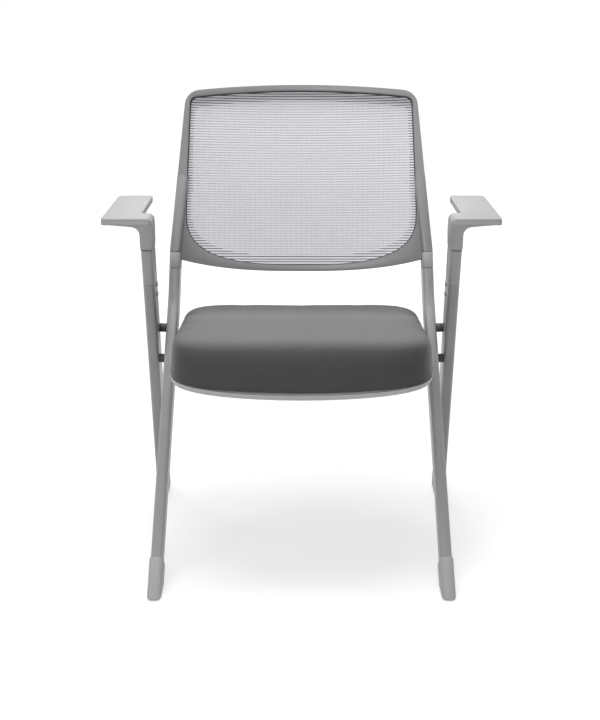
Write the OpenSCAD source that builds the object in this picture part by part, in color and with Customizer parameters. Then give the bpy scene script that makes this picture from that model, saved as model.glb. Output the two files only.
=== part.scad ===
// Nesting chair: two crossed side frames, a flip-up upholstered seat, a mesh back and two arms.
// Millimetres, +Z up, sitter faces -Y. The origin is on the floor, midway between the feet.

/* [Footprint] */
// Distance on the floor from the front feet to the rear feet
foot_span = 520; // [480:1:560]
// Half the distance between the middles of the two front feet
front_half = 252; // [246:1:262]
// Lean of each side frame towards the middle of the chair, in degrees
side_lean = 2.05; // [0.5:0.01:2.2]

/* [Leg tubes] */
// Lean of the front leg to the rear, in degrees from upright
front_angle = 36.2; // [33:0.1:39]
// Lean of the rear leg to the front, in degrees from upright
rear_angle = 33; // [30:0.1:36]
// Width of the flat leg tube, side to side
tube_w = 20; // [18:0.5:24]
// Depth of the flat leg tube, front to back
tube_d = 52; // [48:0.5:56]
// Corner radius of the leg tube
tube_r = 6; // [4:0.5:8]
// Wall of the leg tube
tube_wall = 2; // [1.5:0.1:2.5]
// Radius of the bend at the top of the front leg, on the middle line of the tube
bend_r = 150; // [120:1:200]
// Length of front leg from the floor to its bend
leg_straight = 527; // [500:1:545]
// Length from the bend of the front leg to the back frame, collar included
upright_len = 54; // [50:1:70]

/* [Frame joints] */
// Gap between the front leg and the rear leg, filled by the spacers
spacer_len = 12; // [9:0.5:14]
// Outside diameter of a spacer
spacer_d = 16; // [13:0.5:18]
// Height of a frame bolt above or below the crossing of the legs
bolt_rise = 29; // [22:0.5:30]
// Diameter of a frame bolt
bolt_d = 6; // [5:0.5:8]
// Diameter of a frame bolt's countersunk head
bolt_head_d = 11; // [10:0.5:13]
// Diameter of the barrel of a sleeve nut
nut_barrel_d = 8.4; // [8.2:0.1:9.6]
// Length of a sleeve nut
nut_len = 16; // [12:0.5:18]

/* [Feet] */
// Height of a foot sleeve above the floor
foot_h = 48; // [40:1:56]
// Wall of a foot sleeve around the tube
foot_wall = 2.2; // [1.6:0.1:3]
// Thickness of a foot sleeve's sole under the tube
foot_sole = 14; // [10:1:20]
// Chamfer at the top edge of a foot sleeve
foot_chamfer = 2; // [1:0.1:3]
// Rounding of a foot sleeve's edges at its sole
foot_round = 5; // [3:0.5:6]
// Diameter of a glide pad under a foot
glide_d = 12; // [10:0.5:13]
// Thickness of a glide pad
glide_t = 3; // [2:0.5:4]
// Length that a glide pad stands out below its foot
glide_proud = 1; // [0.5:0.1:1.5]

/* [Backrest] */
// Lean of the backrest to the rear, in degrees from upright
back_angle = 13; // [9:0.5:17]
// Height of the back frame above its seams with the collars, at the middle
back_h = 313; // [290:1:335]
// Fall of the back frame's top edge from the middle to its corners
back_arch = 16; // [8:1:22]
// Distance of the back frame's top corners inwards from the middle of the front feet
back_top_inset = 39; // [32:1:43]
// Depth of the back frame's dip below the seams, at the middle
back_dip = 34.5; // [32:0.5:40]
// Height of the back frame's lower edge at the collars, below the seams
web_drop = 14.5; // [12:0.5:18]
// Radius of the outer top corners of the back frame
back_corner_r = 30; // [20:1:40]
// Radius of the back's curve around the sitter
back_r = 735; // [650:5:900]
// Depth of the back frame, front to back
frame_d = 24; // [20:0.5:30]
// Height of the back frame's top bar
top_bar = 10; // [9:0.5:16]
// Height of the back frame's lower rail at the middle
low_rail = 11; // [9:0.5:14]
// Distance of the mesh opening's widest points inwards from the middle of the front feet
open_inset = 37; // [35:0.5:40]
// Distance of the mesh opening's top corners inwards from the middle of the front feet
open_top_inset = 46; // [44:1:52]
// Height above the seams where the opening is widest
open_wide_h = 77; // [65:1:90]
// Radius of the opening's top corners
open_corner_r = 14; // [8:1:20]
// Length of a collar between a front leg and the back frame
collar_len = 29; // [22:1:34]
// Length of the back frame's spigots, through the collars and into the front legs
spigot_len = 52; // [50:1:53]

/* [Mesh] */
// Thickness of the mesh
mesh_t = 1.2; // [1:0.1:2]
// Height of one row of the mesh, rib and gap
mesh_pitch = 6.3; // [6:0.1:8]
// Height of one mesh gap
mesh_gap = 3; // [2:0.1:3.6]
// Number of columns of gaps
mesh_columns = 5; // [3:1:5]
// Width of an upright thread between the gaps
mesh_thread = 1.6; // [1.2:0.1:3]
// Width of the plain border of the mesh
mesh_border = 3; // [2:0.5:6]
// Width of the carrier's and the mesh's seat inside the back frame
rebate = 4.5; // [4:0.5:5.5]
// Width of the carrier's lip behind the mesh, at the sides
carrier_lip = 8; // [6:0.5:10]
// Extra width of the carrier's lip at the top and at the bottom
carrier_extra = 9; // [4:0.5:12]
// Depth of the mesh carrier
carrier_d = 8; // [6:0.5:10]

/* [Arms] */
// Height of the top of the arm pads above the floor
arm_h = 640; // [625:1:665]
// Length of an arm pad, front to back
arm_len = 262; // [230:1:280]
// Width of an arm pad
arm_w = 62; // [52:1:70]
// Thickness of the arm's plate under the pad
plate_t = 6; // [5:0.5:9]
// Thickness of the arm pad's cap
cap_t = 4.5; // [3:0.5:7]
// Corner radius of an arm pad
pad_r = 14; // [8:1:20]
// Radius of the hollow curve between the arm post and its plate
elbow_r = 14; // [8:1:20]
// Bulge of the elbow past the post, towards the sitter
elbow_bulge = 0.5; // [0:0.5:3]
// Radius of the round outside of the elbow
elbow_round = 8; // [5:0.5:9]
// Height of the arm's post, measured down from the pad
post_len = 118; // [100:1:150]
// Length of the arm's spigot inside the rear leg
arm_spigot = 60; // [40:1:80]

/* [Seat] */
// Distance of the seat's sides inwards from the middle of the front feet
seat_inset = 24; // [23:1:34]
// Depth of the seat, front to back
seat_depth = 412; // [390:1:425]
// Distance from the front feet to the front edge of the seat, to the front
seat_ahead = 12; // [0:1:30]
// Height of the seat's lower front edge above the floor, at the middle
rim_z = 350; // [346:1:356]
// Rise of the seat's lower edge from the middle to the sides
rim_rise = 18; // [5:1:20]
// Height of the pan's light rim
rim_h = 9; // [6:0.5:12]
// Height of the cushion's top above the floor, at the front
seat_z = 441; // [430:1:460]
// Drop of the cushion's top from front to rear
seat_drop = 20; // [10:1:30]
// Height of the pan's panel above the floor
panel_z = 371; // [370:0.5:374]
// Thickness of the pan's panel
panel_t = 4; // [3:0.5:5]
// Thickness of the seat board inside the cushion
board_t = 9; // [8:0.5:12]

/* [Seat hinge] */
// Diameter of the axle tube between the front legs
axle_d = 22; // [20:0.5:25]
// Wall of the axle tube
rail_wall = 2; // [1.5:0.1:3]
// Height of the axle tube above the floor
axle_z = 350; // [346:0.5:352]
// Distance of the seat stops ahead of the axle
stop_reach = 44; // [38:1:52]
// Thickness of a stop arm on the axle tube
stop_t = 8; // [6:0.5:10]
// Distance of each seat bracket inwards from the middle of the front feet
bracket_inset = 102; // [77:1:132]
// Width of a seat bracket's saddle along the axle
saddle_w = 26; // [22:0.5:32]
// Wall of a saddle around its bush
saddle_wall = 4; // [3:0.5:5]
// Wall of a hinge bush
bush_wall = 2; // [1.5:0.1:3]
// Thickness of a seat bracket's rib
rib_t = 6; // [5:0.5:10]
// Thickness of a seat bracket's flange under the pan
flange_t = 4; // [3:0.5:5]
// Width of a seat bracket's flange
flange_w = 44; // [36:1:60]
// Length of the flange ahead of the axle
flange_front = 120; // [90:1:150]
// Length of the flange behind the axle
flange_rear = 80; // [60:1:100]
// Thickness of a seat bumper
bumper_t = 5; // [4:0.5:6]
// Diameter of a seat bumper
bumper_d = 14; // [12:0.5:16]
// Reach of a saddle's screw ears beyond the saddle
cap_ear = 9; // [8:0.5:9.5]
// Thickness of a saddle's screw ears
ear_t = 5; // [4:0.5:7]
// Diameter of the bracket, collar and arm screws
screw_d = 5; // [4:0.5:6]

/* [Fits] */
// Gap between parts that slide together
slip = 0.3; // [0.2:0.05:0.5]
// Running gap of the hinge bushes on the axle, on the radius
run_gap = 0.05; // [0.03:0.01:0.08]
// Gap of a screw in the hole that its thread bites into, on the diameter
thread_gap = 0.1; // [0.06:0.02:0.2]
// Open seam between visible covers
seam = 0.8; // [0.5:0.1:1.2]

/* [Hidden] */
$fn = 48;

// How far a cutting shape runs past what it cuts
over = 1;
// A reach that is larger than the whole chair
far = 2000;
// Width of a screw's head, as a share of its thread
head_share = 1.8;
// Height of a round screw head, as a share of its thread
head_h_share = 0.6;
// Steps of a rounded corner
corner_steps = 5;
// Steps of the rounding at a foot's sole
round_steps = 3;

steel_colour = [0.60, 0.60, 0.61];
plastic_colour = [0.66, 0.66, 0.67];
pad_colour = [0.80, 0.80, 0.80];
dark_colour = [0.20, 0.20, 0.21];
mesh_colour = [0.82, 0.82, 0.86];
fabric_colour = [0.33, 0.33, 0.34];
rim_colour = [0.74, 0.74, 0.74];
board_colour = [0.72, 0.58, 0.40];

// Half widths that follow the distance between the feet
back_top_half = front_half - back_top_inset;
open_half = front_half - open_inset;
open_top_half = front_half - open_top_inset;
seat_half = front_half - seat_inset;
bracket_x = front_half - bracket_inset;

// Places on the floor and the crossing of the legs, in the plane of a side frame
front_y = (foot_reach(front_angle) - foot_reach(rear_angle) - foot_span) / 2;
rear_y = front_y + foot_span;
cross_z = foot_span / (tan(front_angle) + tan(rear_angle));
cross_y = front_y + cross_z * tan(front_angle);
rear_x = tube_w + spacer_len;
leg_turn = front_angle - back_angle;

// Top of the front leg, where the back frame's seam is
leg_top = [
    front_y + leg_straight * sin(front_angle)
        + bend_r * (cos(back_angle) - cos(front_angle)) + upright_len * sin(back_angle),
    leg_straight * cos(front_angle)
        + bend_r * (sin(front_angle) - sin(back_angle)) + upright_len * cos(back_angle)
];
back_y = leg_top.x;
back_z = leg_top.y * cos(side_lean);
collar_x = front_half - leg_top.y * sin(side_lean);
back_axis_y = -sqrt(back_r * back_r - collar_x * collar_x);

// Arm places: the pad's front edge is where the rear leg's front face would reach it
arm_front = rear_y - arm_h * tan(rear_angle) - tube_d / 2 / cos(rear_angle);
post_depth = tube_d / cos(rear_angle);
arm_x = front_half + rear_x - arm_h * tan(side_lean);
pad_in_x = arm_x + tube_w / 2 + slip * 2;
arm_end_z = arm_h - post_len;
arm_end = arm_end_z / cos(rear_angle) / cos(side_lean);

// Seat places
seat_front = front_y - seat_ahead;
seat_mid = seat_front + seat_depth / 2;
seat_rear = seat_front + seat_depth;
axle_y = front_y + axle_z * tan(front_angle);
bush_r = axle_d / 2 + run_gap + bush_wall;
saddle_r = bush_r + slip / 2 + saddle_wall;

// A foot's rounded sole: how far each step is drawn in, how high it lies, how far it reaches
function sole_inset(k) = foot_round * (1 - cos(90 * k / round_steps));
function sole_z(k) = glide_proud + foot_round * (1 - sin(90 * k / round_steps));
function foot_reach(lean) = max([for (k = [0:round_steps])
    (tube_d / 2 + foot_wall - sole_inset(k)) / cos(lean) - sole_z(k) * tan(lean)]);

// Outline of a box with round corners, w across and d deep
function box_outline(w, d, r) = [
    for (c = [[1, 1, 0], [-1, 1, 90], [-1, -1, 180], [1, -1, 270]], i = [0:corner_steps])
        [c.x * (w / 2 - r), c.y * (d / 2 - r)]
            + r * [cos(c.z + i * 90 / corner_steps), sin(c.z + i * 90 / corner_steps)]
];

function unit(v) = v / norm(v);

// Points of the arc that rounds corner b between a and c, with radius r
function corner_arc(a, b, c, r) = let (
    u = unit(a - b), v = unit(c - b), half = acos(u * v) / 2,
    start = b + u * r / tan(half), end = b + v * r / tan(half),
    mid = b + unit(u + v) * r / sin(half)
) [for (i = [0:corner_steps]) let (k = i / corner_steps)
    mid + r * unit((start - mid) * (1 - k) + (end - mid) * k)];

// Polygon p with each corner rounded by the radius of the same place in r
function rounded(p, r) = [
    for (i = [0:len(p) - 1])
        for (q = r[i] > 0
            ? corner_arc(p[(i + len(p) - 1) % len(p)], p[i], p[(i + 1) % len(p)], r[i])
            : [p[i]]) q
];

// Both sides of the chair stand on the same plane, leaned and mirrored
module at_side(side) {
    mirror([side < 0 ? 1 : 0, 0, 0])
        translate([front_half, 0, 0]) rotate([0, -side_lean, 0]) children();
}

// Removes what lies below the given height
module above(height) {
    difference() {
        children();
        translate([-far / 2, -far / 2, height - far]) cube([far, far, far]);
    }
}

// Leg tubes
module tube_shape() {
    polygon(box_outline(tube_w, tube_d, tube_r));
}

module tube_hole() {
    polygon(box_outline(tube_w - 2 * tube_wall, tube_d - 2 * tube_wall, tube_r - tube_wall));
}

module on_front_leg() {
    translate([0, front_y, 0]) rotate([-front_angle, 0, 0]) children();
}

module on_rear_leg() {
    translate([rear_x, rear_y, 0]) rotate([rear_angle, 0, 0]) children();
}

// From the start of the front leg's bend to its end
module past_bend() {
    translate([0, 0, leg_straight]) translate([0, -bend_r, 0])
        rotate([leg_turn, 0, 0]) translate([0, bend_r, 0]) children();
}

module on_leg_top() {
    on_front_leg() past_bend() translate([0, 0, upright_len]) children();
}

module bolt_places() {
    for (rise = [-bolt_rise, bolt_rise])
        translate([0, cross_y, cross_z + rise]) rotate([0, 90, 0]) children();
}

// Countersunk head with its flat face at height zero, pointing down
module countersink(head, shank) {
    translate([0, 0, -(head - shank) / 2]) cylinder(h = (head - shank) / 2, d1 = shank, d2 = head);
}

// Closed skin over a pile of rings that all have the same number of points
module skin(rings) {
    n = len(rings[0]);
    m = len(rings);
    sides = [for (k = [0:m - 2], i = [0:n - 1]) let (j = (i + 1) % n)
        each [[k * n + i, (k + 1) * n + i, k * n + j], [k * n + j, (k + 1) * n + i, (k + 1) * n + j]]];
    ends = [[for (i = [0:n - 1]) i], [for (i = [n - 1:-1:0]) (m - 1) * n + i]];
    polyhedron([for (r = rings) each r], concat(sides, ends));
}

// The front leg's whole run from the floor to its top end, w across and d deep
bend_steps = 8;
module front_run(w, d, r, more) {
    shape = box_outline(w, d, r);
    top = upright_len - collar_len - 2 * seam + more;
    on_front_leg() skin(concat(
        [[for (p = shape) [p.x, p.y, -foot_h]]],
        [for (k = [0:bend_steps]) let (t = leg_turn * k / bend_steps)
            [for (p = shape) bent(p, t, 0)]],
        [[for (p = shape) bent(p, leg_turn, top)]]
    ));
}

// Point of a ring after turning by t in the bend and going on by a length
function bent(p, t, go) = [
    p.x,
    (bend_r + p.y) * cos(t) - bend_r - go * sin(t),
    leg_straight + (bend_r + p.y) * sin(t) + go * cos(t)
];

module front_leg() {
    inside = 2 * tube_wall;
    color(steel_colour) above(foot_sole + 2 * slip) difference() {
        front_run(tube_w, tube_d, tube_r, 0);
        front_run(tube_w - inside, tube_d - inside, tube_r - tube_wall, over);
        bolt_places() translate([0, 0, -tube_w / 2]) nut_hole();
        leg_screw_places() translate([0, 0, -over])
            cylinder(h = tube_wall + 2 * over, d = screw_d + slip);
    }
}

// Countersunk hole through a front leg, from its inner face
module nut_hole() {
    sink = (bolt_head_d - nut_barrel_d) / 2;
    barrel = (nut_barrel_d + slip) / 2;
    end = tube_w + over;
    rotate_extrude() polygon([
        [0, -over], [barrel + sink + over, -over], [barrel, sink], [barrel, end], [0, end]
    ]);
}

module rear_leg() {
    inside = 2 * tube_wall;
    color(steel_colour) above(foot_sole + 2 * slip) difference() {
        on_rear_leg() translate([0, 0, -foot_h]) linear_extrude(foot_h + arm_end) tube_shape();
        on_rear_leg() translate([0, 0, -foot_h - over]) linear_extrude(foot_h + arm_end + 2 * over)
            tube_hole();
        translate([rear_x, 0, 0]) bolt_places()
            cylinder(h = tube_w + 2 * over, d = bolt_d + slip, center = true);
        translate([rear_x, 0, 0]) bolt_places() translate([0, 0, tube_w / 2])
            countersink(bolt_head_d + slip, bolt_d + slip);
        arm_screw_places() cylinder(h = tube_w, d = screw_d + slip);
    }
}

// Feet
module foot_box(lean, inset, top) {
    w = tube_w + 2 * (foot_wall - inset);
    d = tube_d + 2 * (foot_wall - inset);
    translate([0, 0, -foot_h]) linear_extrude(foot_h + top / cos(lean))
        polygon(box_outline(w, d, tube_r + foot_wall - inset));
}

// Sleeve around the foot of a leg, with a chamfered top and a rounded sole on the floor
module foot_body(side, is_front) {
    lean = is_front ? front_angle : rear_angle;
    hull() {
        above(foot_sole) on_foot(side, is_front) foot_box(lean, foot_chamfer / 2, foot_h);
        for (k = [0:round_steps])
            above(sole_z(k)) on_foot(side, is_front)
                foot_box(lean, sole_inset(k), foot_h - foot_chamfer);
    }
}

module on_foot(side, is_front) {
    at_side(side) if (is_front) on_front_leg() children(); else on_rear_leg() children();
}

// Place of a glide pad in the middle of a foot's sole
module glide_place(side, is_front) {
    x = is_front ? front_half : front_half + rear_x;
    translate([side * x, is_front ? front_y : rear_y, 0]) children();
}

module foot(side, is_front) {
    color(plastic_colour) difference() {
        foot_body(side, is_front);
        above(foot_sole) on_foot(side, is_front) translate([0, 0, -foot_h]) linear_extrude(far)
            polygon(box_outline(tube_w + slip, tube_d + slip, tube_r));
        glide_place(side, is_front) translate([0, 0, -over])
            cylinder(h = glide_t + over + slip / 2, d = glide_d + slip);
    }
}

module glide_pads() {
    color(dark_colour) for (side = [-1, 1], is_front = [true, false])
        glide_place(side, is_front) cylinder(h = glide_t, d = glide_d);
}

// Spacers, bolts and sleeve nuts where the legs cross
module frame_spacers() {
    color(dark_colour) for (side = [-1, 1]) at_side(side) bolt_places()
        translate([0, 0, tube_w / 2]) difference() {
            cylinder(h = spacer_len, d = spacer_d);
            translate([0, 0, -over]) cylinder(h = spacer_len + 2 * over, d = bolt_d + slip);
        }
}

module frame_bolts() {
    reach = tube_w * 1.5 + spacer_len;
    color(steel_colour) for (side = [-1, 1]) at_side(side) bolt_places()
        translate([0, 0, reach]) {
            countersink(bolt_head_d, bolt_d);
            translate([0, 0, -reach]) cylinder(h = reach - (bolt_head_d - bolt_d) / 2, d = bolt_d);
        }
}

module sleeve_nuts() {
    color(steel_colour) for (side = [-1, 1]) at_side(side) bolt_places()
        translate([0, 0, -tube_w / 2]) difference() {
            union() {
                mirror([0, 0, 1]) countersink(bolt_head_d, nut_barrel_d);
                translate([0, 0, (bolt_head_d - nut_barrel_d) / 2])
                    cylinder(h = nut_len - (bolt_head_d - nut_barrel_d) / 2, d = nut_barrel_d);
            }
            translate([0, 0, tube_w / 2 - slip]) cylinder(h = nut_len, d = bolt_d + slip / 2);
        }
}

// Cross tubes between the front legs
module between_legs() {
    intersection() {
        children();
        difference() {
            translate([-far / 2, -far / 2, 0]) cube([far, far, far]);
            for (side = [-1, 1]) at_side(side)
                translate([-tube_w / 2, -far / 2, -far / 2]) cube([far, far, far]);
        }
    }
}

module cross_tube(y, z, d) {
    color(steel_colour) between_legs() translate([-front_half, y, z]) rotate([0, 90, 0])
        difference() {
            cylinder(h = front_half * 2, d = d);
            translate([0, 0, -over]) cylinder(h = front_half * 2 + 2 * over, d = d - 2 * rail_wall);
        }
}

// Arms clamped on the axle tube, which carry the front of the seat
stop_x = bracket_x + saddle_w / 2 + slip;
stop_top = panel_z - axle_z - flange_t - bumper_t - slip;
module stop_arms() {
    ring = axle_d / 2 + saddle_wall;
    tip = -stop_reach - bumper_d / 2;
    color(dark_colour) for (side = [-1, 1])
        translate([side * stop_x, axle_y, axle_z]) mirror([side < 0 ? 1 : 0, 0, 0])
            difference() {
                rotate([90, 0, 90]) linear_extrude(stop_t) union() {
                    circle(r = ring);
                    polygon([
                        [0, -ring], [-stop_reach, stop_top - stop_t], [tip, stop_top - stop_t],
                        [tip, stop_top], [-stop_reach + bumper_d, stop_top], [0, ring]
                    ]);
                }
                translate([-over, 0, 0]) rotate([0, 90, 0])
                    cylinder(h = stop_t + 2 * over, d = axle_d + slip / 3);
            }
}

// Arms
// Plan of the arm's top: the pad outside, and a tab at its front over the post
function arm_plan(inset) = let (
    out_x = pad_in_x + arm_w - inset,
    in_x = pad_in_x + inset,
    tab_x = arm_x - tube_w / 2 - elbow_bulge + inset,
    front = arm_front + inset,
    tab_back = arm_front + post_depth - inset,
    back = arm_front + arm_len - inset
) rounded(
    [[tab_x, front], [out_x, front], [out_x, back], [in_x, back], [in_x, tab_back], [tab_x, tab_back]],
    [elbow_round - inset, pad_r / 2, pad_r, pad_r / 2, tube_r + inset, tube_r]
);

// The arm seen from the front: post, hollow elbow and plate, in one closed outline
module elbow_shape() {
    low = arm_h - post_len / 2;
    under = arm_h - cap_t - plate_t;
    lean = tan(side_lean);
    in_low = arm_x - tube_w / 2 + (arm_h - low) * lean;
    out_low = in_low + tube_w;
    out_high = arm_x + tube_w / 2 + plate_t * lean;
    tab_x = arm_x - tube_w / 2 - elbow_bulge;
    polygon(rounded(
        [[in_low, low], [out_low, low], [out_high, under - plate_t], [pad_in_x + arm_w, under],
            [pad_in_x + arm_w, arm_h], [tab_x, arm_h], [tab_x, under - elbow_r]],
        [0, 0, elbow_r, 0, 0, elbow_round, elbow_r]
    ));
}

// The arm's post seen from the side, following the rear leg
module post_shape() {
    lean = tan(rear_angle);
    low = arm_h - post_len / 2;
    polygon([
        [arm_front, arm_h], [arm_front + post_depth, arm_h],
        [arm_front + post_depth + (arm_h - low) * lean, low], [arm_front + (arm_h - low) * lean, low]
    ]);
}

module below_cap() {
    difference() {
        children();
        translate([0, -far / 2, arm_h - cap_t]) cube([far, far, far]);
    }
}

module arm() {
    post_top = arm_h - post_len / 2;
    color(plastic_colour) difference() {
        below_cap() union() {
            intersection() {
                translate([0, far / 2, 0]) rotate([90, 0, 0]) linear_extrude(far) elbow_shape();
                rotate([90, 0, 90]) linear_extrude(far) post_shape();
            }
            translate([0, 0, arm_h - cap_t - plate_t]) linear_extrude(plate_t)
                polygon(arm_plan(0));
            post_and_spigot(post_top);
        }
        arm_cap_screw_places() cylinder(h = plate_t * 3, d = screw_d + slip, center = true);
        global_arm_screws() cylinder(h = tube_w, d = screw_d + thread_gap);
    }
}

// Post along the rear leg up to the given height, with its spigot inside the tube
module post_and_spigot(top) {
    gap = slip / 2;
    translate([front_half, 0, 0]) rotate([0, -side_lean, 0]) on_rear_leg() {
        translate([0, 0, arm_end + seam / 2])
            linear_extrude((top - arm_end_z) / cos(rear_angle) + tube_w / 2) tube_shape();
        translate([0, 0, arm_end - arm_spigot]) linear_extrude(arm_spigot + seam)
            polygon(box_outline(tube_w - 2 * (tube_wall + gap), tube_d - 2 * (tube_wall + gap),
                tube_r - tube_wall));
    }
}

module arm_pad() {
    color(pad_colour) difference() {
        intersection() {
            translate([0, 0, arm_h - cap_t + slip / 3]) linear_extrude(cap_t - slip / 3)
                polygon(arm_plan(0));
            translate([0, far / 2, 0]) rotate([90, 0, 0]) linear_extrude(far) elbow_shape();
        }
        arm_cap_screw_places() translate([0, 0, -over])
            cylinder(h = cap_t / 2 + over, d = screw_d + thread_gap);
    }
}

// Screws from below, through the plate into the cap, at shares of the arm's length
cap_screw_shares = [0.35, 0.85];
module arm_cap_screw_places() {
    for (share = cap_screw_shares)
        translate([pad_in_x + arm_w / 2, arm_front + arm_len * share, arm_h - cap_t]) children();
}

// Screws from the inner face of the rear leg into the arm's spigot, in the leg's own plane
arm_screw_shares = [0.35, 0.75];
module arm_screw_places() {
    for (share = arm_screw_shares)
        on_rear_leg() translate([-tube_w / 2 - over, 0, arm_end - arm_spigot * share])
            rotate([0, 90, 0]) children();
}

module global_arm_screws() {
    translate([front_half, 0, 0]) rotate([0, -side_lean, 0]) arm_screw_places()
        translate([0, 0, tube_wall]) children();
}

module arm_screws() {
    head_h = screw_d * head_h_share;
    color(dark_colour) for (side = [0, 1]) mirror([side, 0, 0]) {
        arm_cap_screw_places() {
            translate([0, 0, -plate_t - head_h]) cylinder(h = head_h, d = screw_d * head_share);
            translate([0, 0, -plate_t]) cylinder(h = plate_t + cap_t / 3, d = screw_d);
        }
        translate([front_half, 0, 0]) rotate([0, -side_lean, 0]) arm_screw_places() {
            translate([0, 0, over - head_h]) cylinder(h = head_h, d = screw_d * head_share);
            translate([0, 0, over]) cylinder(h = tube_w / 2, d = screw_d);
        }
    }
}

// Backrest, in its own upright plane with the seams at height zero
module on_back() {
    translate([0, back_y, back_z]) rotate([-back_angle, 0, 0]) children();
}

// Outline of the mesh opening, made larger on every side by grow
opening_steps = 14;
opening_power = 2.9;
dip_power = 2.8;
arch_share = 0.8;
function opening_low(grow) = let (
    half = open_half + grow, deep = open_wide_h + back_dip - low_rail + grow
) [for (i = [-opening_steps:opening_steps]) let (a = 90 * i / opening_steps)
    [sign(a) * half * pow(abs(sin(a)), 2 / opening_power),
        open_wide_h - deep * pow(cos(a), 2 / opening_power)]];
function opening(grow) = let (
    top = back_h - top_bar + grow, half = open_top_half + grow, r = open_corner_r,
    wide = [open_half + grow, open_wide_h], corner = [half, top - back_arch],
    inner = [half * arch_share, top - back_arch * arch_share * arch_share]
) concat(
    opening_low(grow),
    corner_arc(wide, corner, inner, r),
    [for (i = [opening_steps:-1:-opening_steps]) let (k = arch_share * i / opening_steps)
        [half * k, top - back_arch * k * k]],
    corner_arc([-inner.x, inner.y], [-half, corner.y], [-wide.x, wide.y], r)
);

// Point of the arched top edge, at a share of the way to the corner
function top_edge(k) = [k * back_top_half, back_h - back_arch * k * k];

// Outer outline of the back frame, with its lower edge dipping between the collars
function frame_outline() = let (
    out = collar_x + tube_w / 2,
    web = collar_x - tube_w / 2 - slip
) concat(
    [for (i = [-opening_steps:opening_steps]) let (k = i / opening_steps)
        [k * web, -back_dip + (back_dip - web_drop) * pow(abs(k), dip_power)]],
    [[web, 0], [out, 0]],
    corner_arc([out, 0], top_edge(1), top_edge(arch_share), back_corner_r),
    [for (i = [opening_steps:-1:-opening_steps]) top_edge(arch_share * i / opening_steps)],
    corner_arc(top_edge(-arch_share), top_edge(-1), [-out, 0], back_corner_r),
    [[-out, 0], [-web, 0]]
);

// Shell around the back's upright axis, between two distances from the back's own curve
module back_shell(near, away) {
    tall = back_h + 2 * back_dip;
    translate([0, back_axis_y, -tall / 2 + back_h / 2]) difference() {
        cylinder(h = tall, r = back_r + away, $fn = 360);
        translate([0, 0, -over]) cylinder(h = tall + 2 * over, r = back_r + near, $fn = 360);
        translate([-far, -far * 2, -over]) cube([far * 2, far * 2, tall + 2 * over]);
    }
}

// A flat outline, made to run through the whole back from front to rear
module through_back() {
    depth = 2 * open_half;
    rotate([90, 0, 0]) translate([0, 0, -depth / 2]) linear_extrude(depth) children();
}

module back_slab(points) {
    through_back() polygon(points);
}

neck_rise_share = 0.45;
neck_rise = neck_rise_share * back_h;
// Neck between a collar's deep section and the thinner side of the back frame
module back_neck(side) {
    w = tube_w;
    rise = neck_rise;
    slope = (collar_x + w / 2 - back_top_half) / back_h;
    hull() {
        translate([side * collar_x, 0, 0]) linear_extrude(over)
            polygon(box_outline(w, tube_d, tube_r));
        translate([side * (collar_x - rise * slope), 0, rise]) linear_extrude(over)
            polygon(box_outline(w, frame_d, tube_r));
    }
}

module back_frame() {
    gap = tube_wall + slip / 2;
    color(plastic_colour) difference() {
        union() {
            on_back() {
                intersection() {
                    back_shell(-frame_d / 2, frame_d / 2);
                    difference() { back_slab(frame_outline()); back_slab(opening(0)); }
                }
                for (side = [-1, 1]) back_neck(side);
            }
            for (side = [-1, 1]) at_side(side) on_leg_top() translate([0, 0, -spigot_len])
                linear_extrude(spigot_len + over)
                    polygon(box_outline(tube_w - 2 * gap, tube_d - 2 * gap, tube_r - tube_wall));
        }
        on_back() intersection() {
            back_shell(0, frame_d);
            back_slab(opening(rebate));
        }
        for (side = [-1, 1]) at_side(side) leg_screw_places()
            cylinder(h = tube_w + over, d = screw_d + thread_gap);
    }
}

// What the carrier leaves open behind the mesh
module carrier_hole() {
    intersection_for(shift = [-carrier_extra, 0, carrier_extra])
        translate([0, shift]) polygon(opening(-carrier_lip));
}

module mesh_carrier() {
    color(plastic_colour) on_back() difference() {
        intersection() {
            back_shell(mesh_t + slip, mesh_t + slip + carrier_d);
            back_slab(opening(rebate - slip));
        }
        through_back() carrier_hole();
    }
}

// Half the width of the mesh opening at height z, drawn in on every side by inset
function half_at(z, inset) = let (
    half = open_half - inset,
    deep = open_wide_h + back_dip - low_rail - inset,
    top = back_h - top_bar - inset,
    fall = (open_half - open_top_half) / (top - back_arch - open_wide_h),
    away = pow(abs(open_wide_h - z) / deep, opening_power),
    low_side = half * pow(max(0, 1 - away), 1 / opening_power),
    side = z < open_wide_h ? low_side : half - fall * (z - open_wide_h),
    arch = (open_top_half - inset) * sqrt(max(0, top - z) / back_arch)
) min(side, arch);

// Rows and columns of gaps, which end before the mesh's plain border
module mesh_gaps() {
    column = 2 * open_half / mesh_columns;
    rows = floor((back_h + back_dip - top_bar - low_rail) / mesh_pitch);
    inset = mesh_border;
    for (row = [0:rows - 1], place = [0:mesh_columns - 1]) {
        low = low_rail - back_dip + row * mesh_pitch;
        half = min(half_at(low, inset), half_at(low + mesh_gap, inset));
        start = max(-open_half + place * column + mesh_thread / 2, -half);
        end = min(-open_half + (place + 1) * column - mesh_thread / 2, half);
        if (end - start > mesh_pitch) translate([start, low]) square([end - start, mesh_gap]);
    }
}

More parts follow.
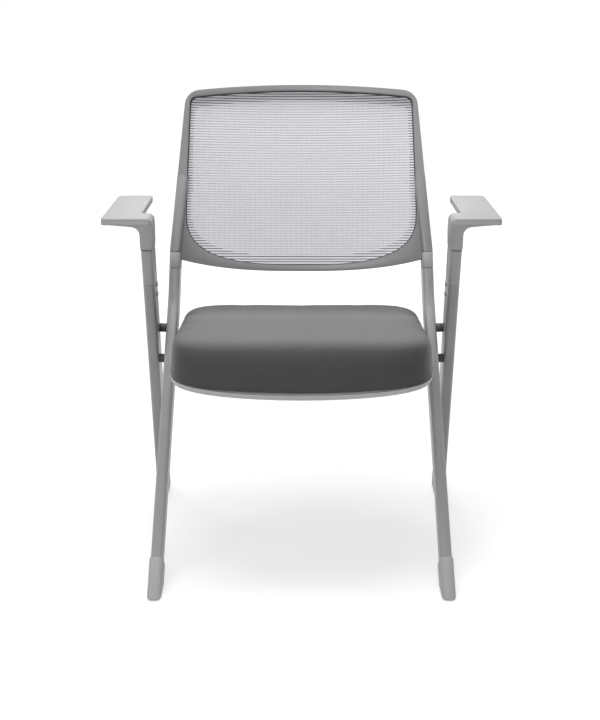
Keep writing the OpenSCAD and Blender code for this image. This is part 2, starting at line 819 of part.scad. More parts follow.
// The mesh is stretched in flat facets, halfway between the corners and the middles of its arc
mesh_facets = 16;
mesh_sweep = asin((open_half + 2 * rebate) / back_r);
mesh_r = back_r * (1 + 1 / cos(mesh_sweep / mesh_facets)) / 2;
function mesh_line(r) = [
    for (i = [0:mesh_facets]) let (a = mesh_sweep * (2 * i / mesh_facets - 1))
        [r * sin(a), back_axis_y + r * cos(a)]
];
function backwards(p) = [for (i = [len(p) - 1:-1:0]) p[i]];
module mesh_shell() {
    near = mesh_r + slip / 2;
    translate([0, 0, -2 * back_dip]) linear_extrude(back_h + 4 * back_dip)
        polygon(concat(mesh_line(near), backwards(mesh_line(near + mesh_t))));
}

module back_mesh() {
    color(mesh_colour) on_back() intersection() {
        mesh_shell();
        through_back() difference() {
            polygon(opening(rebate - slip));
            mesh_gaps();
        }
    }
}

// Collar between the front leg and the back frame, around the spigot
module leg_collar() {
    color(plastic_colour) on_leg_top() translate([0, 0, -collar_len - seam])
        linear_extrude(collar_len) difference() { tube_shape(); tube_hole(); }
}

// Screws through the rear face of each front leg into the back frame's spigot
leg_screw_drop = 14;
module leg_screw_places() {
    on_leg_top() translate([0, tube_d / 2, -collar_len - 2 * seam - leg_screw_drop])
        rotate([90, 0, 0]) children();
}

module collar_screws() {
    head_h = screw_d * head_h_share;
    color(dark_colour) for (side = [-1, 1]) at_side(side) leg_screw_places() {
        translate([0, 0, -head_h]) cylinder(h = head_h, d = screw_d * head_share);
        cylinder(h = tube_w, d = screw_d);
    }
}

// Seat
seat_steps = 64;
front_power = 6;
rear_power = 6;
seat_taper = 0.03;

// Point on the edge of a square of half width 1, a little closer together at its corners
function square_at(k) = let (
    row = seat_steps / 4, t = 2 * (k % row) / row - 1, e = (t + sin(90 * t)) / 2
) [[1, e], [-e, 1], [-1, -e], [e, -1]][floor(k / row)];

// Outline of the seat, drawn in towards its middle by a share of its size
function seat_ring(share, height) = [
    for (k = [0:seat_steps - 1]) let (
        q = square_at(k), p = q.y < 0 ? front_power : rear_power,
        out = 1 / pow(pow(abs(q.x), p) + pow(abs(q.y), p), 1 / p), u = q.x * out, v = q.y * out,
        x = u * seat_half * (1 - share) * (1 - seat_taper * (1 + v) / 2),
        y = seat_mid + v * seat_depth / 2 * (1 - share)
    ) [x, y, height(x, y)]
];

// Lower edge of the cushion, which rises to the sides
function edge_z(x, y) = rim_z + rim_h + rim_rise * pow(x / seat_half, 2);
// Top of the cushion, which falls to the rear
function crown_z(x, y) = seat_z - seat_drop * (y - seat_front) / seat_depth;

// Closed skin over a pile of rings, from the first ring's middle to the last ring's middle
module ring_pile(rings) {
    n = len(rings[0]);
    m = len(rings);
    first_mid = [0, seat_mid, rings[0][0].z];
    last_mid = [0, seat_mid, max([for (p = rings[m - 1]) p.z])];
    points = concat([for (r = rings) each r], [first_mid, last_mid]);
    sides = [for (k = [0:m - 2], i = [0:n - 1]) let (j = (i + 1) % n)
        each [[k * n + i, (k + 1) * n + i, k * n + j], [k * n + j, (k + 1) * n + i, (k + 1) * n + j]]];
    ends = [for (i = [0:n - 1]) let (j = (i + 1) % n)
        each [[n * m, i, j], [n * m + 1, (m - 1) * n + j, (m - 1) * n + i]]];
    polyhedron(concat(points), concat(sides, ends));
}

// Height at a share of the way from the lower edge to the crown
function cushion_height(share) =
    function (x, y) edge_z(x, y) * (1 - share) + crown_z(x, y) * share;
function level(z) = function (x, y) z;
function edge_offset(up) = function (x, y) edge_z(x, y) + up;

// How far rings are drawn in: the board, the pan's floor, and the edges of the pan and cushion
board_share = 0.12;
board_gap = 0.004;
pan_share = 0.07;
edge_share = 0.012;
// Height of the cushion's hem above its edge seam, as a share of the seam
hem_rise = 1.5;

// Each pair is how far a ring of the cushion is drawn in, and its height from the edge to the crown
side_shares = [
    [0.003, 0.07], [0, 0.25], [0, 0.5], [0.003, 0.66], [0.01, 0.79], [0.025, 0.9],
    [0.05, 0.97], [0.1, 1.01], [0.3, 1.035], [0.62, 1.045], [0.85, 1.05]
];
// How far the cushion's lower edge is drawn in
hem_share = 0.007;

module seat_cushion() {
    inside = panel_z + panel_t + seam;
    color(fabric_colour) ring_pile(concat(
        [seat_ring(board_share, level(inside + board_t + slip)),
            seat_ring(board_share, level(inside)),
            seat_ring(pan_share, level(inside)),
            seat_ring(edge_share, edge_offset(seam)),
            seat_ring(hem_share, edge_offset(seam * hem_rise))],
        [for (s = side_shares) seat_ring(s[0], cushion_height(s[1]))]
    ));
}

// Each pair is how far a ring of the pan's rim is drawn in, and how far down the rim it lies
rim_shares = [[0.035, 0.9], [0.022, 1], [0.012, 0.9], [0.006, 0.5], [0.006, 0.04], [0.018, 0]];
// Share that the pan's underside is drawn in past its floor
under_share = 0.082;

module seat_pan() {
    color(rim_colour) difference() {
        ring_pile(concat(
            [seat_ring(under_share, level(panel_z))],
            [for (s = rim_shares) seat_ring(s[0], edge_offset(-rim_h * s[1]))],
            [seat_ring(pan_share, level(panel_z + panel_t))]
        ));
        bracket_screw_places() cylinder(h = far, d = screw_d + slip, center = true);
    }
}

module seat_board() {
    color(board_colour) difference() {
        translate([0, 0, panel_z + panel_t + slip / 2]) linear_extrude(board_t)
            polygon([for (p = seat_ring(board_share + board_gap, level(0))) [p.x, p.y]]);
        bracket_screw_places() cylinder(h = far, d = screw_d + thread_gap, center = true);
    }
}

// Seat brackets, which turn on the axle tube and rest on the stop arms
module at_bracket(side) {
    translate([side * bracket_x, axle_y, axle_z]) children();
}

rib_share = 0.75;
flange_z = panel_z - axle_z - slip / 3;

// The rib from the side: under the flange and over the saddle
module rib_shape() {
    ear = saddle_r + cap_ear;
    low = flange_z - flange_t;
    deep = low - flange_t;
    polygon(rounded(
        [[-flange_front, low], [-flange_front * rib_share, deep], [-ear - rib_t, deep], [-ear, 0],
            [ear, 0], [ear + rib_t, deep], [flange_rear * rib_share, deep], [flange_rear, low]],
        [0, rib_t, 0, 0, 0, 0, rib_t, 0]
    ));
}

module seat_bracket() {
    color(dark_colour) difference() {
        union() {
            translate([-flange_w / 2, -flange_front, flange_z - flange_t])
                cube([flange_w, flange_front + flange_rear, flange_t]);
            translate([-rib_t / 2, 0, 0]) rotate([90, 0, 90]) linear_extrude(rib_t) rib_shape();
            rotate([0, 90, 0]) cylinder(h = saddle_w, r = saddle_r, center = true);
            translate([-saddle_w / 2, -saddle_r - cap_ear, 0])
                cube([saddle_w, 2 * (saddle_r + cap_ear), ear_t]);
        }
        rotate([0, 90, 0]) cylinder(h = saddle_w * 2, r = bush_r + slip / 2, center = true);
        translate([-saddle_w, -saddle_r - over, -2 * saddle_r])
            cube([saddle_w * 2, 2 * (saddle_r + over), 2 * saddle_r]);
        bracket_screw_holes() cylinder(h = panel_z - axle_z, d = screw_d + slip);
        cap_screw_holes() translate([0, 0, -over])
            cylinder(h = ear_t + 2 * over, d = screw_d + thread_gap);
    }
}

module cap_screw_holes() {
    for (x = [-1, 1], y = [-1, 1])
        translate([x * (saddle_w / 2 - screw_d), y * (saddle_r + cap_ear / 2), 0]) children();
}

module bracket_screw_holes() {
    for (x = [-1, 1], y = [-flange_front + flange_w / 4, flange_rear - flange_w / 4])
        translate([x * flange_w / 3, y, 0]) children();
}

module bracket_screw_places() {
    for (side = [-1, 1]) at_bracket(side) bracket_screw_holes() children();
}

// Lower halves of the saddles
module saddle_caps() {
    color(dark_colour) for (side = [-1, 1]) at_bracket(side) difference() {
        union() {
            difference() {
                rotate([0, 90, 0]) cylinder(h = saddle_w, r = saddle_r, center = true);
                translate([-saddle_w, -2 * saddle_r, -slip])
                    cube([saddle_w * 2, 4 * saddle_r, 2 * saddle_r]);
            }
            translate([-saddle_w / 2, -saddle_r - cap_ear, -slip - ear_t])
                cube([saddle_w, 2 * (saddle_r + cap_ear), ear_t]);
        }
        rotate([0, 90, 0]) cylinder(h = saddle_w * 2, r = bush_r + slip / 2, center = true);
        cap_screw_holes() translate([0, 0, -slip - ear_t - over])
            cylinder(h = ear_t + 2 * over, d = screw_d + slip);
    }
}

module cap_screws() {
    head_h = screw_d * head_h_share;
    low = -slip - ear_t;
    color(steel_colour) for (side = [-1, 1]) at_bracket(side) cap_screw_holes() {
        translate([0, 0, low - head_h]) cylinder(h = head_h, d = screw_d * head_share);
        translate([0, 0, low]) cylinder(h = 2 * ear_t + slip, d = screw_d);
    }
}

// Share of the board's thickness that a bracket screw bites into
screw_bite = 0.8;
module bracket_screws() {
    head_h = screw_d * head_h_share;
    color(steel_colour) bracket_screw_places() {
        translate([0, 0, flange_z - flange_t - head_h]) cylinder(h = head_h, d = screw_d * head_share);
        translate([0, 0, flange_z - flange_t])
            cylinder(h = flange_t + panel_t + board_t * screw_bite, d = screw_d);
    }
}

// Bumpers under the flanges, which rest on the stop arms
module seat_bumpers() {
    color(dark_colour) for (side = [-1, 1])
        translate([side * (stop_x + stop_t / 2), axle_y - stop_reach, axle_z + flange_z - flange_t - bumper_t])
            cylinder(h = bumper_t, d = bumper_d);
}

module hinge_bushes() {
    color(pad_colour) for (side = [-1, 1]) at_bracket(side) rotate([0, 90, 0]) difference() {
        cylinder(h = saddle_w, r = bush_r, center = true);
        cylinder(h = saddle_w + 2 * over, r = axle_d / 2 + run_gap, center = true);
    }
}

at_side(-1) front_leg();  // left_front_leg
at_side(1) front_leg();  // right_front_leg
at_side(-1) rear_leg();  // left_rear_leg
at_side(1) rear_leg();  // right_rear_leg
foot(-1, true);  // left_front_foot
foot(1, true);  // right_front_foot
foot(-1, false);  // left_rear_foot
foot(1, false);  // right_rear_foot
glide_pads();
frame_spacers();
frame_bolts();
sleeve_nuts();
cross_tube(axle_y, axle_z, axle_d);  // axle_tube
stop_arms();
mirror([1, 0, 0]) arm();  // left_arm
arm();  // right_arm
mirror([1, 0, 0]) arm_pad();  // left_arm_pad
arm_pad();  // right_arm_pad
arm_screws();
back_frame();
mesh_carrier();
back_mesh();
at_side(-1) leg_collar();  // left_collar
at_side(1) leg_collar();  // right_collar
collar_screws();
seat_pan();
seat_board();
seat_cushion();
at_bracket(-1) seat_bracket();  // left_seat_bracket
at_bracket(1) seat_bracket();  // right_seat_bracket
hinge_bushes();
saddle_caps();
cap_screws();
bracket_screws();
seat_bumpers();
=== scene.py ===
"""Nesting chair on crossed side frames, dressed over its packed construction model.

Metres, +Z up, the sitter faces -Y, and the origin is on the floor between the feet. Widths of rounded
edges and the sizes of the backrest are in millimetres.
"""

import bisect
import logging
import math
from dataclasses import dataclass, field, replace
from enum import Enum

import bmesh
import bpy
from mathutils import Matrix, Vector


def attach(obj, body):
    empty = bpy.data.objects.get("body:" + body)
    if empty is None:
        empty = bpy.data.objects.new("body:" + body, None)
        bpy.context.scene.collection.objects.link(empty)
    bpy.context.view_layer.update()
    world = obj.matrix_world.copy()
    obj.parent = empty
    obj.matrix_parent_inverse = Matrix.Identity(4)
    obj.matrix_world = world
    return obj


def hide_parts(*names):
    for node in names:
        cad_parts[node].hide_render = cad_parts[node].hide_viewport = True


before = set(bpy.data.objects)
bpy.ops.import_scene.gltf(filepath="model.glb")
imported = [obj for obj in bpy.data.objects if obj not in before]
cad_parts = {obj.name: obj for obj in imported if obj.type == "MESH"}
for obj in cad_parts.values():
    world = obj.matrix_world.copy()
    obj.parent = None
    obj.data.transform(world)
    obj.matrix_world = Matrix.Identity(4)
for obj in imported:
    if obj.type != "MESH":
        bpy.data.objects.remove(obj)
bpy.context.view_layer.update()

LOG = logging.getLogger("nesting_chair")
MM = 0.001
SIDES = ("left", "right")
Triple = tuple[float, float, float]
Span = tuple[float, float]


class Body(Enum):
    """The two bodies of the chair that pieces ride on."""

    FRAME = "frame"
    SEAT = "seat"


# Finishes


class NodeKit:
    """Adds and links the nodes of one tree."""

    def __init__(self, tree: bpy.types.NodeTree) -> None:
        """Empties the tree that the nodes go in."""
        self.tree = tree
        self.tree.nodes.clear()

    def node(self, kind: str, **values: object) -> bpy.types.Node:
        """Adds a node.

        Args:
            kind: Blender's type name of the node.
            values: Socket values by name with underscores for spaces, or properties of the node.

        Returns:
            The new node.
        """
        made = self.tree.nodes.new(kind)
        for key, value in values.items():
            socket = made.inputs.get(key.replace("_", " "))
            if socket is not None:
                socket.default_value = value
            else:
                setattr(made, key, value)
        return made

    def link(self, start: bpy.types.Node, out: str | int,
             end: bpy.types.Node, into: str | int) -> None:
        """Links an output socket to an input socket, each by its name or number."""
        self.tree.links.new(start.outputs[out], end.inputs[into])

    def combine(self, operation: str, first: bpy.types.NodeSocket,
                second: bpy.types.NodeSocket) -> bpy.types.Node:
        """Combines two values.

        Args:
            operation: Blender's name of the sum.
            first: Output socket of the first value.
            second: Output socket of the second value.

        Returns:
            The Math node, whose output is Value.
        """
        made = self.node("ShaderNodeMath", operation=operation)
        self.tree.links.new(first, made.inputs[0])
        self.tree.links.new(second, made.inputs[1])
        return made


class Bench(NodeKit):
    """Builds the nodes of one material around a Principled shader.

    A Mix node has many inputs of the same name, so those that are used are known by number.
    """

    MIX_SHARE = 0
    FLOAT_A = 2
    FLOAT_B = 3
    COLOUR_A = 6
    COLOUR_B = 7

    def __init__(self, name: str) -> None:
        """Starts a material with only its output and shader.

        Args:
            name: Name of the new material.
        """
        self.material = bpy.data.materials.new(name)
        self.material.use_nodes = True
        super().__init__(self.material.node_tree)
        self.output = self.node("ShaderNodeOutputMaterial")
        self.shader = self.node("ShaderNodeBsdfPrincipled")
        self.link(self.shader, "BSDF", self.output, "Surface")
        self.place = self.node("ShaderNodeTexCoord")

    def noise(self, scale: float, detail: float = 2.0, roughness: float = 0.5) -> bpy.types.Node:
        """Noise on Object coordinates.

        Args:
            scale: Cells per metre.
            detail: Octaves.
            roughness: Share of the finer octaves.

        Returns:
            The noise node, whose output is Fac.
        """
        made = self.node("ShaderNodeTexNoise", Scale=scale, Detail=detail, Roughness=roughness)
        self.link(self.place, "Object", made, "Vector")
        return made

    def spread(self, source: bpy.types.Node, out: str, ends: Span) -> bpy.types.Node:
        """Maps a 0 to 1 value to a range.

        Args:
            source: Node with the value.
            out: Its output socket.
            ends: Results at 0 and at 1.

        Returns:
            The Map Range node, whose output is Result.
        """
        made = self.node("ShaderNodeMapRange", To_Min=ends[0], To_Max=ends[1])
        self.link(source, out, made, "Value")
        return made

    def slope(self, way: Triple, ends: Span, tones: Span) -> bpy.types.Node:
        """A value that changes smoothly between two places of the object.

        Args:
            way: The direction that the places are measured along.
            ends: The two places, in metres.
            tones: The values there.

        Returns:
            The Map Range node, whose output is Result.
        """
        height = self.node("ShaderNodeVectorMath", operation="DOT_PRODUCT")
        height.inputs[1].default_value = way
        self.link(self.place, "Object", height, 0)
        return self.smooth(height, ends, tones)

    def smooth(self, source: bpy.types.Node, ends: Span, tones: Span) -> bpy.types.Node:
        """Maps a measured value to a range without corners.

        Args:
            source: Node whose output Value is the measure.
            ends: Measures at which the change starts and ends.
            tones: Results there.

        Returns:
            The Map Range node, whose output is Result.
        """
        made = self.node("ShaderNodeMapRange", interpolation_type="SMOOTHSTEP",
                         From_Min=ends[0], From_Max=ends[1], To_Min=tones[0], To_Max=tones[1])
        self.link(source, "Value", made, "Value")
        return made

    def tint(self, colour: Triple, shade: float, mask: bpy.types.Node, out: str) -> bpy.types.Node:
        """A colour that a mask darkens.

        Args:
            colour: The light colour.
            shade: Share of the light colour that is left where the mask is 1.
            mask: Node with the mask.
            out: Its output socket.

        Returns:
            The Mix node, whose output is Result.
        """
        made = self.node("ShaderNodeMix", data_type="RGBA", blend_type="MIX")
        for socket, amount in ((self.COLOUR_A, 1.0), (self.COLOUR_B, shade)):
            made.inputs[socket].default_value = (*(c * amount for c in colour), 1.0)
        self.link(mask, out, made, self.MIX_SHARE)
        return made

    def relief(self, source: bpy.types.Node, out: str, depth: float,
               under: bpy.types.Node | None = None) -> bpy.types.Node:
        """Bump from a height value.

        Args:
            source: Node with the height.
            out: Its output socket.
            depth: Height of the relief, in metres.
            under: Bump node that this one is added to.

        Returns:
            The Bump node.
        """
        made = self.node("ShaderNodeBump", Strength=1.0, Distance=depth)
        self.link(source, out, made, "Height")
        if under is not None:
            self.link(under, "Normal", made, "Normal")
        self.link(made, "Normal", self.shader, "Normal")
        return made


@dataclass(frozen=True)
class Finish:
    """A moulded or painted surface with a fine grain and a slow change of tone."""

    name: str
    colour: Triple
    roughness: float
    shade: float
    grain_depth: float
    grain: float = 1500.0
    metallic: float = 0.0
    patches: float = 9.0
    gloss_ends: Span = (0.88, 1.14)

    def material(self) -> bpy.types.Material:
        """The material, made once and then shared."""
        found = bpy.data.materials.get(self.name)
        return found if found is not None else self.build().material

    def build(self) -> Bench:
        """Builds the nodes.

        Returns:
            The bench with the finished material.
        """
        bench = Bench(self.name)
        bench.shader.inputs["Metallic"].default_value = self.metallic
        cloud = bench.noise(self.patches, detail=4.0, roughness=0.6)
        tone = bench.tint(self.colour, self.shade, cloud, "Fac")
        bench.link(tone, "Result", bench.shader, "Base Color")
        fine = bench.noise(self.grain)
        gloss = bench.spread(fine, "Fac", tuple(self.roughness * end for end in self.gloss_ends))
        bench.link(gloss, "Result", bench.shader, "Roughness")
        bench.relief(fine, "Fac", self.grain_depth)
        return bench


@dataclass(frozen=True)
class WovenFinish(Finish):
    """Seat fabric: a plain weave with a flecked yarn, and painted light that makes the top lighter at
    the front and the sides and rear darker.
    """

    yarn: float = 0.0011
    fleck: float = 520.0
    fleck_share: float = 0.55
    fleck_depth: float = 0.00012
    cloud: float = 14.0
    cloud_ends: Span = (0.86, 1.12)
    gloss: float = 0.2
    sheen: float = 0.2
    sheen_roughness: float = 0.38
    sheen_tint: Triple = (0.95, 0.95, 0.97)
    # Painted light: above the rise the top is lit and below it the sides and front face take painted
    # shade; along the run the rear takes the backrest's painted shade.
    fall: float = 0.0485
    rise: Span = (0.419, 0.4365)
    painted_top_light_tones: Span = (0.355, 1.0)
    run: Span = (-0.03, 0.09)
    painted_rear_shade_tones: Span = (1.0, 0.4)

    def build(self) -> Bench:
        """Builds the cloth's colour, sheen and relief.

        Returns:
            The bench with the finished material.
        """
        bench = Bench(self.name)
        shader = bench.shader
        shader.inputs["Roughness"].default_value = self.roughness
        shader.inputs["Specular IOR Level"].default_value = self.gloss
        shader.inputs["Sheen Weight"].default_value = self.sheen
        shader.inputs["Sheen Roughness"].default_value = self.sheen_roughness
        shader.inputs["Sheen Tint"].default_value = (*self.sheen_tint, 1.0)
        weave = self.weave(bench)
        fleck = bench.noise(self.fleck, detail=3.0, roughness=0.7)
        mixed = bench.node("ShaderNodeMix", data_type="FLOAT")
        mixed.inputs[bench.MIX_SHARE].default_value = self.fleck_share
        bench.link(weave, "Result", mixed, bench.FLOAT_A)
        bench.link(fleck, "Fac", mixed, bench.FLOAT_B)
        tone = bench.tint(self.colour, self.shade, mixed, "Result")
        # Painted light: the woven colour is multiplied by the painted top light and the painted side
        # and rear shade.
        painted_light = bench.node("ShaderNodeMix", data_type="RGBA", blend_type="MULTIPLY")
        painted_light.inputs[bench.MIX_SHARE].default_value = 1.0
        bench.link(tone, "Result", painted_light, bench.COLOUR_A)
        bench.link(self.tone_and_painted_light(bench), "Value", painted_light, bench.COLOUR_B)
        bench.link(painted_light, "Result", shader, "Base Color")
        first = bench.relief(fleck, "Fac", self.fleck_depth)
        bench.relief(weave, "Result", self.grain_depth, first)
        return bench

    def weave(self, bench: Bench) -> bpy.types.Node:
        """Crossing yarns on the cushion's own UV map, in metres.

        Args:
            bench: Where the nodes are added.

        Returns:
            The Map Range node, whose output is Result.
        """
        axes = bench.node("ShaderNodeSeparateXYZ")
        bench.link(bench.place, "UV", axes, "Vector")
        waves = []
        for out in ("X", "Y"):
            scaled = bench.node("ShaderNodeMath", operation="MULTIPLY")
            scaled.inputs[1].default_value = math.pi / self.yarn
            bench.link(axes, out, scaled, 0)
            wave = bench.node("ShaderNodeMath", operation="SINE")
            bench.link(scaled, "Value", wave, 0)
            waves.append(wave.outputs["Value"])
        cross = bench.combine("MULTIPLY", *waves)
        made = bench.node("ShaderNodeMapRange", From_Min=-1.0, From_Max=1.0)
        bench.link(cross, "Value", made, "Value")
        return made

    def tone_and_painted_light(self, bench: Bench) -> bpy.types.Node:
        """The cloth's slow random change of tone times painted light: lightest on the seat's top at the
        front, with painted shade on the sides, the front face and toward the rear under the backrest.

        Args:
            bench: Where the nodes are added.

        Returns:
            The Math node, whose output is Value.
        """
        patch = bench.spread(bench.noise(self.cloud, detail=3.0, roughness=0.6), "Fac", self.cloud_ends)
        # Painted light on the top, painted shade on the sides and front face.
        up = bench.slope((0.0, self.fall, 1.0), self.rise, self.painted_top_light_tones)
        # Painted shade toward the rear, under the backrest.
        along = bench.slope((0.0, 1.0, 0.0), self.run, self.painted_rear_shade_tones)
        first = bench.combine("MULTIPLY", patch.outputs["Result"], up.outputs["Result"])
        return bench.combine("MULTIPLY", first.outputs["Value"], along.outputs["Result"])


@dataclass(frozen=True)
class PlyFinish(Finish):
    """Plywood: thin layers seen at the edge and a long grain on the face."""

    layer: float = 0.0015
    grain_across: float = 60.0
    grain_along: float = 6.0

    def build(self) -> Bench:
        """Builds layers across Z and a stretched grain along Y.

        Returns:
            The bench with the finished material.
        """
        bench = Bench(self.name)
        bench.shader.inputs["Roughness"].default_value = self.roughness
        stretch = bench.node("ShaderNodeMapping",
                             Scale=(self.grain_across, self.grain_along, 1.0 / self.layer))
        bench.link(bench.place, "Object", stretch, "Vector")
        grain = bench.node("ShaderNodeTexNoise", Scale=1.0, Detail=4.0)
        bench.link(stretch, "Vector", grain, "Vector")
        tone = bench.tint(self.colour, self.shade, grain, "Fac")
        bench.link(tone, "Result", bench.shader, "Base Color")
        bench.relief(grain, "Fac", self.grain_depth)
        return bench


STEEL = Finish("powder_coated_steel", (0.305, 0.305, 0.312), roughness=0.33,
               shade=0.94, grain_depth=0.000015, grain=1900.0)
SHELL = Finish("moulded_shell", (0.37, 0.37, 0.375), roughness=0.5,
               shade=0.95, grain_depth=0.00002, grain=1300.0)
# Painted shade: a darker copy of the shell plastic for the back frame, standing in for the shade that
# falls on it.
SHADED_BACK_SHELL = Finish("moulded_back_painted_shade", (0.24, 0.24, 0.245), roughness=0.34,
                    shade=0.95, grain_depth=0.00002, grain=1300.0)
FOOT = Finish("moulded_foot", (0.375, 0.375, 0.38), roughness=0.5,
              shade=0.92, grain_depth=0.00003, grain=1300.0)
CAP = Finish("arm_cap", (0.37, 0.37, 0.37), roughness=0.5,
             shade=0.95, grain_depth=0.00002, grain=1500.0)
PAN = Finish("moulded_pan", (0.47, 0.47, 0.47), roughness=0.48,
             shade=0.94, grain_depth=0.00002, grain=1200.0)
NYLON = Finish("dark_nylon", (0.035, 0.035, 0.037), roughness=0.5,
               shade=0.8, grain_depth=0.00003, grain=1200.0)
CARRIER = Finish("carrier_plastic", (0.16, 0.16, 0.165), roughness=0.55,
                 shade=0.85, grain_depth=0.00002, grain=1200.0)
ZINC = Finish("zinc_plated_steel", (0.45, 0.45, 0.46), roughness=0.32,
              shade=0.85, grain_depth=0.00001, grain=700.0, metallic=0.9)
RUBBER = Finish("soft_rubber", (0.03, 0.03, 0.03), roughness=0.8,
                shade=0.8, grain_depth=0.00004, grain=900.0)
BUSH = Finish("slide_bush", (0.62, 0.61, 0.58), roughness=0.4,
              shade=0.92, grain_depth=0.00001, grain=900.0)
PLY = PlyFinish("birch_plywood", (0.52, 0.37, 0.2), roughness=0.6, shade=0.72, grain_depth=0.00005)
RIB = Finish("knit_rib", (0.86, 0.86, 0.90), roughness=0.75,
             shade=0.92, grain_depth=0.00012, grain=2200.0)
NET = Finish("knit_net", (0.17, 0.17, 0.18), roughness=0.7,
             shade=0.85, grain_depth=0.00008, grain=1800.0)
# Dark hem near the mesh's edges, and the painted shadow line that the frame's lip casts on the mesh.
HEM_AND_LIP_SHADOW = Finish("knit_hem_and_lip_shadow", (0.07, 0.07, 0.075), roughness=0.7,
             shade=0.85, grain_depth=0.00008, grain=1800.0)
WEAVE = WovenFinish("seat_weave", (0.225, 0.225, 0.231), roughness=0.6, shade=0.45, grain_depth=0.00022)


# Tools for pieces


class Workshop:
    """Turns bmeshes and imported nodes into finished, riding pieces."""

    CREASE = math.radians(35)
    WELD_WIDTH = 0.00001
    FLAT_ANGLE = math.radians(0.4)
    EDGE_ANGLE = math.radians(32)
    EDGE_SEGMENTS = 2
    shading: bpy.types.NodeTree | None = None

    @classmethod
    def soft_shading(cls) -> bpy.types.NodeTree:
        """Node group that smooths faces and keeps edges sharper than a crease.

        Returns:
            The group, made once and then shared.
        """
        if cls.shading is not None:
            return cls.shading
        tree = bpy.data.node_groups.new("crease_shading", "GeometryNodeTree")
        for side in ("INPUT", "OUTPUT"):
            tree.interface.new_socket("Geometry", in_out=side, socket_type="NodeSocketGeometry")
        kit = NodeKit(tree)
        start = kit.node("NodeGroupInput")
        end = kit.node("NodeGroupOutput")
        angle = kit.node("GeometryNodeInputMeshEdgeAngle")
        under = kit.node("FunctionNodeCompare", operation="LESS_EQUAL")
        under.inputs[1].default_value = cls.CREASE
        faces = kit.node("GeometryNodeSetShadeSmooth")
        edges = kit.node("GeometryNodeSetShadeSmooth", domain="EDGE")
        kit.link(start, 0, faces, 0)
        kit.link(faces, 0, edges, 0)
        kit.link(angle, "Unsigned Angle", under, 0)
        kit.link(under, 0, edges, "Shade Smooth")
        kit.link(edges, 0, end, 0)
        cls.shading = tree
        return tree

    @classmethod
    def dress(cls, name: str, finish: Finish, bevel: float = 0.0) -> bpy.types.Object:
        """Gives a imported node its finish, softened edges and smooth shading.

        Args:
            name: The node.
            finish: Its surface.
            bevel: Width of the rounded edges, in millimetres, or 0 for none.

        Returns:
            The node's object.
        """
        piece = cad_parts[name]
        for slot in piece.material_slots:
            slot.material = finish.material()
        weld = piece.modifiers.new("weld", "WELD")
        weld.merge_threshold = cls.WELD_WIDTH
        if bevel > 0:
            flat = piece.modifiers.new("join_flats", "DECIMATE")
            flat.decimate_type = "DISSOLVE"
            flat.angle_limit = cls.FLAT_ANGLE
            soft = piece.modifiers.new("soft_edges", "BEVEL")
            soft.width = bevel * MM
            soft.segments = cls.EDGE_SEGMENTS
            soft.limit_method = "ANGLE"
            soft.angle_limit = cls.EDGE_ANGLE
            soft.miter_outer = "MITER_ARC"
        shade = piece.modifiers.new("crease_shading", "NODES")
        shade.node_group = cls.soft_shading()
        LOG.info("dressed %s in %s", name, finish.name)
        return piece

    @staticmethod
    def put(name: str, data: bpy.types.ID) -> bpy.types.Object:
        """Puts a mesh, light or camera in the scene.

        Args:
            name: Name of the new object.
            data: What it shows.

        Returns:
            The new object.
        """
        made = bpy.data.objects.new(name, data)
        bpy.context.scene.collection.objects.link(made)
        return made

    @classmethod
    def piece(cls, name: str, bm: bmesh.types.BMesh, finishes: list[Finish], body: Body,
              slot: str) -> bpy.types.Object:
        """Makes a smooth riding piece of a bmesh whose vertices are in metres and in place.

        Args:
            name: Name of the piece.
            bm: Its mesh, which is freed.
            finishes: Its surfaces, in the order of the faces' material numbers.
            body: The body that it rides on.
            slot: Not used.

        Returns:
            The new object.
        """
        for face in bm.faces:
            face.smooth = True
        mesh = bpy.data.meshes.new(name)
        bm.to_mesh(mesh)
        bm.free()
        for finish in finishes:
            mesh.materials.append(finish.material())
        made = cls.put(name, mesh)
        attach(made, body.value)
        LOG.info("made %s: %d faces on %s", name, len(mesh.polygons), body.value)
        return made


# Studio


@dataclass(frozen=True)
class Softbox:
    """A square area light that looks at a point."""

    name: str
    at: Triple
    size: float
    watts: float
    aim: Triple = (0.0, 0.0, 0.5)

    def build(self) -> None:
        """Hangs the light."""
        light = bpy.data.lights.new(self.name, "AREA")
        light.size = self.size
        light.energy = self.watts
        made = Workshop.put(self.name, light)
        made.location = self.at
        made.rotation_euler = (Vector(self.aim) - Vector(self.at)).to_track_quat("-Z", "Y").to_euler()


